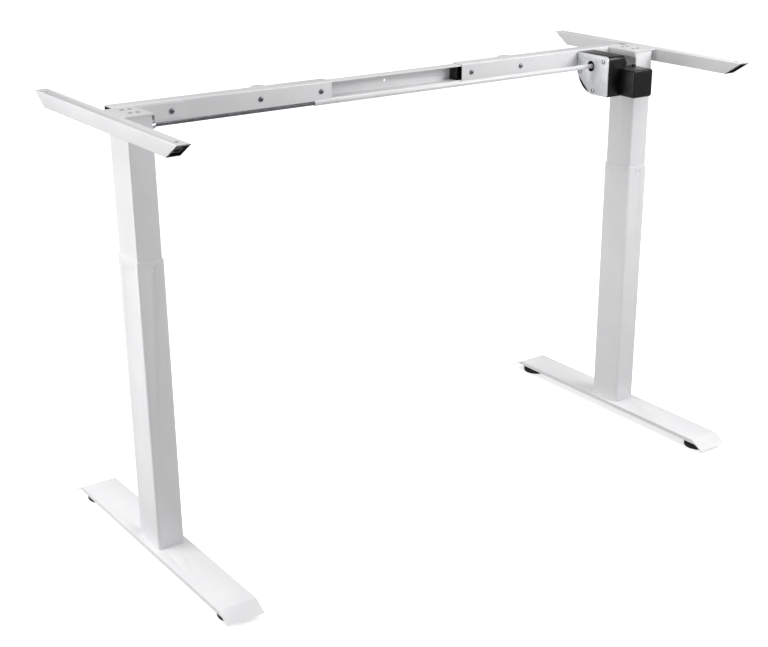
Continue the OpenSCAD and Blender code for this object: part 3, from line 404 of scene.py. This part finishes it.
def joinAll(name, parts):
    deselectAll()
    for part in parts:
        part.select_set(True)
    bpy.context.view_layer.objects.active = parts[0]
    bpy.ops.object.join()
    parts[0].name = name
    return parts[0]


meshMend = {"merge": 0.01 * mm, "copyMerge": 0.005 * mm, "flatDegrees": 0.5}


def cleanMesh(obj):
    makeActive(obj)
    bpy.ops.object.mode_set(mode="EDIT")
    bpy.ops.mesh.select_all(action="SELECT")
    bpy.ops.mesh.remove_doubles(threshold=meshMend["merge"])
    bpy.ops.mesh.normals_make_consistent(inside=False)
    bpy.ops.object.mode_set(mode="OBJECT")


def settle(obj, slot, body, *nodes, degrees=32):
    applyPlace(obj)
    bpy.ops.object.shade_smooth_by_angle(angle=math.radians(degrees))
    obj.data.materials.clear()
    obj.data.materials.append(materials[slot])
    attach(obj, body)
    if nodes:
        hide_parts(*nodes)
    return obj


# A merged copy of a frame part with its edges eased, as tumbling or coating leaves them
def easedCopy(node, slot, body, ease, name=None, degrees=32):
    source = frame["nodes"][node]
    copy = bpy.data.objects.new(name or node + "Eased", source.data.copy())
    bpy.context.scene.collection.objects.link(copy)
    makeActive(copy)
    bpy.ops.object.mode_set(mode="EDIT")
    bpy.ops.mesh.select_all(action="SELECT")
    bpy.ops.mesh.remove_doubles(threshold=meshMend["copyMerge"])
    bpy.ops.mesh.dissolve_limited(angle_limit=math.radians(meshMend["flatDegrees"]))
    bpy.ops.object.mode_set(mode="OBJECT")
    easeEdges(copy, *ease)
    return settle(copy, slot, body, node, degrees=degrees)


# Columns, bushes and caps, which keep the frame's own shapes: part: (slot, body, ease)

easedParts = {
    "outer_column": ("white_coat", "base", (0.25 * mm,)),
    "glide_bush": ("white_plastic", "base", (0.2 * mm,)),
    "inner_column": ("white_coat", "upper", (0.25 * mm,)),
    "tube_caps": ("black_plastic", "upper", (0.3 * mm,)),
}


def makeEased(side, part):
    slot, body, ease = easedParts[part]
    easedCopy(f"{side}_{part}", slot, f"{side}_{body}", ease)


# Feet: pressed sheet, open below, with a crisp fold at each sloped end

footShape = {"pressing": (0.9 * mm, 3, 25), "smoothDegrees": 20}


def makeFoot(side, s):
    easedCopy(side + "_foot", "white_coat", side + "_base", s["pressing"], side + "FootPressing",
              s["smoothDegrees"])


# Levelling pads: moulded disc with a collar and a ridged stud

padShape = {"discHeight": 10 * mm, "lowerEdge": (2.4 * mm, 4), "upperEdge": (1.2 * mm, 3),
            "dishRadius": 20 * mm, "dishDepth": 1 * mm, "collarRadius": 9 * mm, "collarTop": 1.2 * mm,
            "collarEase": (0.4 * mm, 2), "studRadius": 4.9 * mm, "studCorners": 24, "pitch": 1.5 * mm,
            "valley": 0.88}


def makePad(side, end, s):
    node = f"{side}_{end}_pad"
    low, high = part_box(node)
    centre = (low + high) / 2
    radius = (high.x - low.x) / 2
    discTop = low.z + s["discHeight"]
    pad = addRod(node + "Disc", (centre.x, centre.y, low.z), (centre.x, centre.y, discTop), radius, fineRound)
    bevelEdges(pad, lambda a, b: abs(a.z - b.z) < sameLevel and a.z < discTop - mm, *s["lowerEdge"])
    bevelEdges(pad, lambda a, b: abs(a.z - b.z) < sameLevel and a.z > discTop - sameLevel, *s["upperEdge"])
    cutRod(pad, (centre.x, centre.y, low.z - mm), (centre.x, centre.y, low.z + s["dishDepth"]),
           s["dishRadius"], midRound)
    collar = addRod("collar", (centre.x, centre.y, discTop - mm),
                    (centre.x, centre.y, discTop + s["collarTop"]), s["collarRadius"], hexSides)
    easeEdges(collar, *s["collarEase"])
    combine(pad, collar, "UNION")
    stud = ridgedStud("stud", Vector((centre.x, centre.y, discTop)), high.z - discTop, s)
    combine(pad, stud, "UNION")
    settle(pad, "black_pad", node, node)


# A stud whose thread is drawn as ridges at its real pitch
def ridgedStud(name, base, height, s):
    stud = addRod(name, base, base + Vector((0, 0, height)), s["studRadius"], s["studCorners"])
    turns = int(height / s["pitch"]) - 1
    makeActive(stud)
    bpy.ops.object.mode_set(mode="EDIT")
    for i in range(1, 2 * turns):
        bpy.ops.mesh.select_all(action="SELECT")
        level = base + Vector((0, 0, i * s["pitch"] / 2))
        bpy.ops.mesh.bisect(plane_co=level, plane_no=(0, 0, 1))
        if i % 2:
            bpy.ops.transform.resize(value=(s["valley"], s["valley"], 1), center_override=level)
    bpy.ops.object.mode_set(mode="OBJECT")
    return stud


# Side tubes: rectangular tube with cuts that slope back under the desktop

tubeShape = {"wall": 1.5 * mm, "corner": (2 * mm, 5), "cut": 47 * mm, "screwHole": 4.5 * mm,
             "screwInset": 29.3 * mm, "holeDepth": 4 * mm, "ease": (0.25 * mm, 2, 50)}


def makeSideTube(side, s):
    low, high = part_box(side + "_side_tube")
    tube = addBox(side + "DesktopRail", low, high)
    selectWhere(tube, faces=lambda c, n: n.z < -facing)
    bpy.ops.transform.resize(value=(1, 1 - s["cut"] / high.y, 1), center_override=(0, 0, low.z))
    bpy.ops.object.mode_set(mode="OBJECT")
    deleteFaces(tube, lambda c, n: abs(n.y) > facing)
    bevelEdges(tube, lambda a, b: abs(a.y - b.y) > longEdge, *s["corner"])
    giveWall(tube, s["wall"])
    for end in (-1, 1):
        at = Vector(((low.x + high.x) / 2, end * (high.y - s["screwInset"]), high.z))
        cutRod(tube, at - Vector((0, 0, s["holeDepth"])), at + Vector((0, 0, mm)), s["screwHole"])
    easeEdges(tube, *s["ease"])
    settle(tube, "white_coat", side + "_upper", side + "_side_tube")


# Crossbeam: folded channels that slide over a folded rail

channelShape = {"sheet": 2 * mm, "fold": (2.6 * mm, 5), "depth": 37.5 * mm, "earX": 335 * mm,
                "earWidth": 28 * mm, "earLap": 6 * mm, "earCorner": (4 * mm, 5), "earHole": 3.5 * mm,
                "holeDepth": 4 * mm, "ease": (0.2 * mm, 2, 50)}


def makeChannel(side, s):
    low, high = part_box(side + "_channel")
    back = low.y + s["depth"]
    channel = addBox(side + "BeamChannel", low, (high.x, back, high.z))
    deleteFaces(channel, lambda c, n: n.y > facing or abs(n.x) > facing)
    bevelEdges(channel, lambda a, b: max(a.y, b.y) < low.y + mm and abs(a.x - b.x) > longEdge, *s["fold"])
    giveWall(channel, s["sheet"])
    earX = sides[side] * s["earX"]
    ear = addBox("ear", (earX - s["earWidth"] / 2, back - s["earLap"], high.z - s["sheet"]),
                 (earX + s["earWidth"] / 2, high.y, high.z))
    bevelEdges(ear, lambda a, b: abs(a.z - b.z) > mm and a.y > back, *s["earCorner"])
    combine(channel, ear, "UNION")
    at = Vector((earX, (back + high.y) / 2, high.z))
    cutRod(channel, at - Vector((0, 0, s["holeDepth"])), at + Vector((0, 0, mm)), s["earHole"])
    easeEdges(channel, *s["ease"])
    settle(channel, "white_coat", side + "_upper", side + "_channel")


railShape = {"sheet": 2 * mm, "fold": (2.2 * mm, 5), "hole": 2.8 * mm, "holeDepth": 5 * mm,
             "ease": (0.2 * mm, 2, 50)}


def makeCentreRail(s):
    low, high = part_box("centre_rail")
    rail = addBox("beamInnerRail", low, high)
    deleteFaces(rail, lambda c, n: n.y < -facing or abs(n.x) > facing)
    bevelEdges(rail, lambda a, b: min(a.y, b.y) > high.y - mm and abs(a.x - b.x) > longEdge, *s["fold"])
    giveWall(rail, s["sheet"])
    at = Vector(((low.x + high.x) / 2, high.y, (low.z + high.z) / 2))
    cutRod(rail, at - Vector((0, s["holeDepth"], 0)), at + Vector((0, mm, 0)), s["hole"])
    easeEdges(rail, *s["ease"])
    settle(rail, "white_coat", "crossbeam", "centre_rail")


# Brackets: plate over the column with folded flanges and a tab along the beam

bracketShape = {"sheet": 3 * mm, "fold": (3.4 * mm, 5), "half": 33.4 * mm, "flange": 26.5 * mm,
                "innerFlange": 14.6 * mm, "tabDrop": 3.9 * mm, "tabHeight": 30 * mm, "tabCorner": (3 * mm, 5),
                "ease": (0.8 * mm, 2, 50), "screwX": (-10.5 * mm, 5 * mm), "screwY": (-13 * mm, 23 * mm),
                "headRadius": 5.2 * mm, "headDepth": 1.5 * mm, "headGap": 0.6 * mm}


def makeBracket(side, s):
    sign = sides[side]
    low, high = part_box(side + "_bracket")
    legAt = sign * legX
    flangeLow = topZ - s["flange"]
    cover = addBox(side + "BracketPlate", (legAt - s["half"], low.y, flangeLow),
                   (legAt + s["half"], high.y, topZ))
    deleteFaces(cover, lambda c, n: n.y < -facing or n.z < -facing)
    onTop = lambda a, b: min(a.z, b.z) > topZ - mm
    atFront = lambda a, b: max(a.y, b.y) < high.y - mm and abs(a.y - b.y) < mm
    bevelEdges(cover, lambda a, b: onTop(a, b) and not atFront(a, b), *s["fold"])
    giveWall(cover, s["sheet"])
    innerX = sorted((legAt - sign * (s["half"] + mm), legAt - sign * (s["half"] - s["sheet"] - mm)))
    relief = addBox("relief", (innerX[0], low.y - mm, flangeLow - mm),
                    (innerX[1], high.y - s["sheet"], topZ - s["innerFlange"]))
    combine(cover, relief, "DIFFERENCE")
    tabZ = topZ - s["tabDrop"]
    tab = addBox("tab", (low.x, beamFace - s["sheet"], tabZ - s["tabHeight"]), (high.x, beamFace, tabZ))
    bevelEdges(tab, lambda a, b: abs(a.y - b.y) > mm and sign * a.x < sign * legAt, *s["tabCorner"])
    combine(cover, tab, "UNION")
    easeEdges(cover, *s["ease"])
    for x in s["screwX"]:
        for y in s["screwY"]:
            at = Vector((legAt + sign * x, y, topZ))
            cutRod(cover, at - Vector((0, 0, s["headDepth"])), at + Vector((0, 0, mm)),
                   s["headRadius"] - s["headDepth"] + s["headGap"], smallRound, s["headRadius"] + mm)
    settle(cover, "white_coat", side + "_upper", side + "_bracket")


# Screws: turned heads with their drives cut in

# Turns a profile of (radius, height) points about an upright axis
def turnProfile(name, profile, steps=40):
    data = bpy.data.meshes.new(name)
    shape = bpy.data.objects.new(name, data)
    bpy.context.scene.collection.objects.link(shape)
    mesh = bmesh.new()
    points = [mesh.verts.new((r, 0, z)) for r, z in profile]
    for a, b in zip(points, points[1:]):
        mesh.edges.new((a, b))
    mesh.to_mesh(data)
    mesh.free()
    makeActive(shape)
    bpy.ops.object.mode_set(mode="EDIT")
    bpy.ops.mesh.select_all(action="SELECT")
    bpy.ops.mesh.spin(steps=steps, angle=math.tau, center=(0, 0, 0), axis=(0, 0, 1))
    bpy.ops.object.mode_set(mode="OBJECT")
    cleanMesh(shape)
    return shape


def copiesAt(name, shape, places, turn):
    parts = []
    for place in places:
        part = bpy.data.objects.new(name, shape.data.copy())
        bpy.context.scene.collection.objects.link(part)
        part.rotation_euler = turn
        part.location = place
        applyPlace(part)
        parts.append(part)
    bpy.data.objects.remove(shape)
    return joinAll(name, parts)


buttonHead = {"radius": 5.5 * mm, "height": 3.5 * mm, "socketFlats": 4 * mm, "socketDepth": 2.2 * mm,
              "shank": 3 * mm}
panHead = {"radius": 5.5 * mm, "height": 3.4 * mm, "crossWidth": 1.3 * mm, "crossLength": 5.6 * mm,
           "crossDepth": 1.7 * mm, "shank": 2.5 * mm}
flatHead = {"radius": 5 * mm, "height": 2.6 * mm, "socketFlats": 4 * mm, "socketDepth": 1.3 * mm,
            "shank": 2.5 * mm, "rim": 0.3 * mm, "length": 9.5 * mm, "sunk": 0.15 * mm}
domeShape = {"degrees": (0, 20, 38, 54, 68, 80, 90), "fall": 0.75, "rim": 0.3 * mm, "tip": 0.4 * mm}


def domeProfile(s, length):
    d = domeShape
    turns = [math.radians(a) for a in d["degrees"]]
    dome = [(s["radius"] * math.sin(t), s["height"] * (1 - (1 - math.cos(t)) * d["fall"])) for t in turns]
    return dome + [(s["radius"], d["rim"]), (s["radius"] - d["rim"], 0), (s["shank"], 0),
                   (s["shank"], d["tip"] - length), (s["shank"] - d["tip"], -length), (0, -length)]


def makeButtonScrew(name, s, length):
    screw = turnProfile(name, domeProfile(s, length))
    cutRod(screw, (0, 0, s["height"] - s["socketDepth"]), (0, 0, s["height"] + mm),
           s["socketFlats"] / math.sqrt(3), hexSides)
    return screw


def makePanScrew(name, s, length):
    screw = turnProfile(name, domeProfile(s, length))
    for size in ((s["crossLength"], s["crossWidth"]), (s["crossWidth"], s["crossLength"])):
        slot = addBox("slot", (-size[0] / 2, -size[1] / 2, s["height"] - s["crossDepth"]),
                      (size[0] / 2, size[1] / 2, s["height"] + mm))
        combine(screw, slot, "DIFFERENCE")
    return screw


beamScrews = {
    "clampX": (204 * mm, 352 * mm),
    "clampLength": 4.2 * mm,
    "tabX": {"left": (557.4 * mm, 620.6 * mm), "right": (611.6 * mm,)},
    "tabLength": 7.2 * mm,
    "tabSheet": 3 * mm,
    "casingX": (550 * mm, 575 * mm),
    "casingLength": 12 * mm,
    "sheet": 2 * mm,
}


def makeBeamScrews(side, s):
    sign = sides[side]
    toFront, toBack = (math.radians(90), 0, 0), (math.radians(-90), 0, 0)
    groups = [
        copiesAt("clamps", makeButtonScrew("clamp", buttonHead, s["clampLength"]),
                 [(sign * x, beamFace, beamZ) for x in s["clampX"]], toFront),
        copiesAt("tabScrews", makeButtonScrew("tabScrew", buttonHead, s["tabLength"]),
                 [(sign * x, beamFace - s["tabSheet"], beamZ) for x in s["tabX"][side]], toFront)]
    if side == "right":
        casingScrew = makeButtonScrew("casingScrew", buttonHead, s["casingLength"])
        groups.append(copiesAt("casingScrews", casingScrew,
                               [(x, beamFace + s["sheet"], beamZ) for x in s["casingX"]], toBack))
    settle(joinAll(side + "BeamScrews", groups), "steel", side + "_upper", side + "_channel_screws")


def makeBlockScrews(side, s, b):
    profile = [(0, 0), (s["radius"], 0), (s["radius"], -s["rim"]), (s["shank"], -s["height"]),
               (s["shank"], -s["length"]), (0, -s["length"])]
    screw = turnProfile("flatScrew", profile)
    cutRod(screw, (0, 0, -s["socketDepth"]), (0, 0, mm), s["socketFlats"] / math.sqrt(3), hexSides)
    places = [(sides[side] * (legX + x), y, topZ - s["sunk"]) for x in b["screwX"] for y in b["screwY"]]
    screws = copiesAt(side + "BlockScrews", screw, places, (0, 0, 0))
    settle(screws, "zinc", side + "_upper", side + "_block_screws")


# Gear casing, its cover plate and the motor's cover

casingShape = {"length": 56 * mm, "wall": 3 * mm, "lowerCurve": (58 * mm, 24), "frontCurve": (9 * mm, 8),
               "rightEdge": (1.2 * mm, 3), "lap": 2 * mm, "neckRadius": 18.2 * mm, "neckPast": 17 * mm,
               "boxHalf": 15 * mm, "boxTop": 12 * mm, "boxRear": 32 * mm, "flangeY": 42 * mm,
               "motorDrop": 24 * mm, "hubBore": 11.8 * mm, "boreFrom": 47 * mm, "ease": (0.4 * mm, 2, 50)}


def makeCasing(s):
    low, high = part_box("gear_casing")
    motorX = middle("motor_worm").x
    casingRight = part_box("cover_plate")[0].x + s["length"]
    shell = addBox("gearCasingShell", low, (casingRight, high.y, high.z))
    bevelEdges(shell, lambda a, b: abs(a.x - b.x) > mm and a.y > 0 and a.z < rodZ, *s["lowerCurve"])
    bevelEdges(shell, lambda a, b: abs(a.x - b.x) > mm and max(a.y, b.y) < low.y + mm and a.z > rodZ,
               *s["frontCurve"])
    deleteFaces(shell, lambda c, n: n.x < -facing)
    giveWall(shell, s["wall"])
    bevelEdges(shell, lambda a, b: min(a.x, b.x) > casingRight - sameLevel, *s["rightEdge"])
    left = casingRight - s["lap"]
    neck = addRod("neck", (left, 0, rodZ), (motorX + s["neckPast"], 0, rodZ), s["neckRadius"])
    combine(shell, neck, "UNION")
    motorZ = rodZ - s["motorDrop"]
    wormBox = addBox("wormBox", (left, -s["flangeY"], motorZ - s["boxHalf"]),
                     (motorX + s["boxHalf"], s["boxRear"], motorZ + s["boxTop"]))
    combine(shell, wormBox, "UNION")
    coverLow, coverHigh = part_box("motor_cover")
    flange = addBox("flange", (left, -s["flangeY"], coverLow.z),
                    (coverHigh.x, s["wall"] - s["flangeY"], coverLow.z + motorBox["height"]))
    bevelEdges(flange, lambda a, b: abs(a.y - b.y) > mm and a.x > casingRight, *motorBox["corner"])
    combine(shell, flange, "UNION")
    easeEdges(shell, *s["ease"])
    cutRod(shell, (low.x + s["boreFrom"], 0, rodZ), (high.x, 0, rodZ), s["hubBore"], midRound)
    settle(shell, "black_plastic", "right_upper", "gear_casing")


plateShape = {"cutWidth": 48 * mm, "cutHeight": 44 * mm, "topFront": (9 * mm, 8), "lowFront": (5 * mm, 6),
              "cutCorners": (5 * mm, 6), "cutFrom": -20 * mm, "cutBelow": 10 * mm, "topBack": (1.5 * mm, 4),
              "shaftHole": 12.5 * mm, "ease": (0.5 * mm, 3, 50)}


def makeCoverPlate(s):
    low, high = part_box("cover_plate")
    plate = addBox("gearCoverPlate", low, high)
    makeActive(plate)
    bpy.ops.object.mode_set(mode="EDIT")
    bpy.ops.mesh.select_all(action="SELECT")
    cutStart = Vector((0, high.y, low.z + s["cutHeight"]))
    slope = Vector((0, s["cutHeight"], -s["cutWidth"])).normalized()
    bpy.ops.mesh.bisect(plane_co=cutStart, plane_no=slope, clear_outer=True, use_fill=True)
    bpy.ops.object.mode_set(mode="OBJECT")
    across = lambda a, b: abs(a.x - b.x) > mm
    front = lambda a: a.y < low.y + mm
    cutEnd = lambda a: a.y > s["cutFrom"] and a.z < high.z - s["cutBelow"]
    topBack = lambda a: a.y > high.y - mm and a.z > high.z - mm
    bevelEdges(plate, lambda a, b: across(a, b) and front(a) and a.z > rodZ, *s["topFront"])
    bevelEdges(plate, lambda a, b: across(a, b) and front(a) and a.z < low.z + mm, *s["lowFront"])
    bevelEdges(plate, lambda a, b: across(a, b) and cutEnd(a), *s["cutCorners"])
    bevelEdges(plate, lambda a, b: across(a, b) and topBack(a), *s["topBack"])
    cutRod(plate, (low.x - mm, 0, rodZ), (high.x + mm, 0, rodZ), s["shaftHole"], midRound)
    easeEdges(plate, *s["ease"])
    settle(plate, "cover_metal", "right_upper", "cover_plate")


coverScrewPlaces = {"yz": ((-43 * mm, 15.4 * mm), (36 * mm, -17.2 * mm), (-11 * mm, -56.5 * mm)),
                    "length": 16 * mm}


def makeCoverScrews(s):
    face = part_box("cover_plate")[0].x
    screws = copiesAt("coverPlateScrews", makePanScrew("panScrew", panHead, s["length"]),
                      [(face, y, rodZ + z) for y, z in s["yz"]], (0, math.radians(-90), 0))
    settle(screws, "zinc", "right_upper", "cover_screws")


motorBox = {"height": 65.5 * mm, "corner": (6 * mm, 6), "cornerEdge": 10 * mm, "frontEdge": (3.5 * mm, 5),
            "wall": 2.5 * mm, "casingFront": 59.05 * mm, "notchGap": 0.05 * mm, "notchPast": 5 * mm,
            "inletRadius": 5.5 * mm, "inletBore": 3 * mm, "inletSide": 24 * mm, "inletBack": 8 * mm,
            "inletRim": (1 * mm, 4), "inletDepth": 6 * mm}


def makeMotorCover(s):
    low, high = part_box("motor_cover")
    boxTop = low.z + s["height"]
    cover = addBox("motorCoverMoulding", low, (high.x, high.y, boxTop))
    bevelEdges(cover, lambda a, b: abs(a.y - b.y) > s["cornerEdge"], *s["corner"])
    deleteFaces(cover, lambda c, n: n.y > facing)
    bevelEdges(cover, lambda a, b: max(a.y, b.y) < low.y + sameLevel, *s["frontEdge"])
    giveWall(cover, s["wall"])
    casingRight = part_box("cover_plate")[0].x + casingShape["length"]
    notch = addBox("notch", (low.x - s["notchPast"], -s["casingFront"], low.z - s["notchPast"]),
                   (casingRight + s["notchGap"], high.y + s["notchPast"], boxTop + s["notchPast"]))
    combine(cover, notch, "DIFFERENCE")
    at = Vector((middle("motor_worm").x + s["inletSide"], high.y - s["inletBack"], 0))
    inletTop = at + Vector((0, 0, high.z))
    inlet = addRod("inlet", at + Vector((0, 0, boxTop - mm)), inletTop, s["inletRadius"], smallRound)
    bevelEdges(inlet, lambda a, b: abs(a.z - b.z) < sameLevel and a.z > boxTop, *s["inletRim"])
    combine(cover, inlet, "UNION")
    cutRod(cover, at + Vector((0, 0, boxTop - s["inletDepth"])), inletTop + Vector((0, 0, mm)), s["inletBore"])
    settle(cover, "black_plastic", "right_upper", "motor_cover")


# Rail blocks: moulded, with pockets in the front face

blockShape = {"length": 102 * mm, "pockets": 4, "rim": 3 * mm, "pocketDepth": 6 * mm,
              "ease": (0.6 * mm, 3, 50)}


def makeRailBlocks(s):
    low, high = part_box("rail_blocks")
    length = s["length"]
    blocks = []
    for start in (low.x, high.x - length):
        block = addBox("block", (start, low.y, low.z), (start + length, high.y, high.z))
        makeActive(block)
        bpy.ops.object.mode_set(mode="EDIT")
        for i in range(1, s["pockets"]):
            bpy.ops.mesh.select_all(action="SELECT")
            bpy.ops.mesh.bisect(plane_co=(start + length * i / s["pockets"], 0, 0), plane_no=(1, 0, 0))
        bpy.ops.object.mode_set(mode="OBJECT")
        selectWhere(block, faces=lambda c, n: n.y < -facing)
        bpy.ops.mesh.inset(thickness=s["rim"], depth=-s["pocketDepth"], use_individual=True)
        bpy.ops.object.mode_set(mode="OBJECT")
        easeEdges(block, *s["ease"])
        blocks.append(block)
    settle(joinAll("beamSpacerBlocks", blocks), "black_plastic", "crossbeam", "rail_blocks")


# Drive shaft

shaftShape = {"sleeveWall": 1.15 * mm, "sleeveEase": (0.3 * mm, 2, 60), "rodEase": (0.35 * mm, 3),
              "gearEase": (0.2 * mm, 2)}


def makeSleeve(s):
    low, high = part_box("sleeve_tube")
    radius = (high.z - low.z) / 2
    sleeve = addRod("shaftSleeve", (low.x, 0, rodZ), (high.x, 0, rodZ), radius, fineRound)
    deleteFaces(sleeve, lambda c, n: abs(n.x) > facing)
    giveWall(sleeve, s["sleeveWall"])
    easeEdges(sleeve, *s["sleeveEase"])
    settle(sleeve, "white_coat", "right_shaft", "sleeve_tube")


def makeShaftParts(s):
    easedCopy("hex_rod", "steel", "left_shaft", s["rodEase"], "shaftHexRod")
    easedCopy("left_shaft_gear", "zinc", "left_shaft", s["gearEase"], "shaftGearCollar")
    easedCopy("worm_wheel", "black_plastic", "right_shaft", s["gearEase"], "wormWheelMoulding")


# Everything, in order

makeCamera(cameraView)
makeStudio(studio)
materials = makeMaterials()

for side in sides:
    makeFoot(side, footShape)
    for end in ("front", "rear"):
        makePad(side, end, padShape)
    for part in ("outer_column", "glide_bush", "inner_column"):
        makeEased(side, part)
    makeBracket(side, bracketShape)
    makeSideTube(side, tubeShape)
    makeEased(side, "tube_caps")
    makeChannel(side, channelShape)
    makeBeamScrews(side, beamScrews)
    makeBlockScrews(side, flatHead, bracketShape)
    print(side, "leg ready")

makeCentreRail(railShape)
makeRailBlocks(blockShape)
makeCasing(casingShape)
makeCoverPlate(plateShape)
makeCoverScrews(coverScrewPlaces)
makeMotorCover(motorBox)
makeSleeve(shaftShape)
makeShaftParts(shaftShape)
print("beam and drive ready")

nodeSlots = {part["node"]: part["material_slot"] for part in frame["record"]["subparts"]}
for node, obj in frame["nodes"].items():
    obj.data.materials.clear()
    obj.data.materials.append(materials[nodeSlots[node]])
print("frame materials ready")
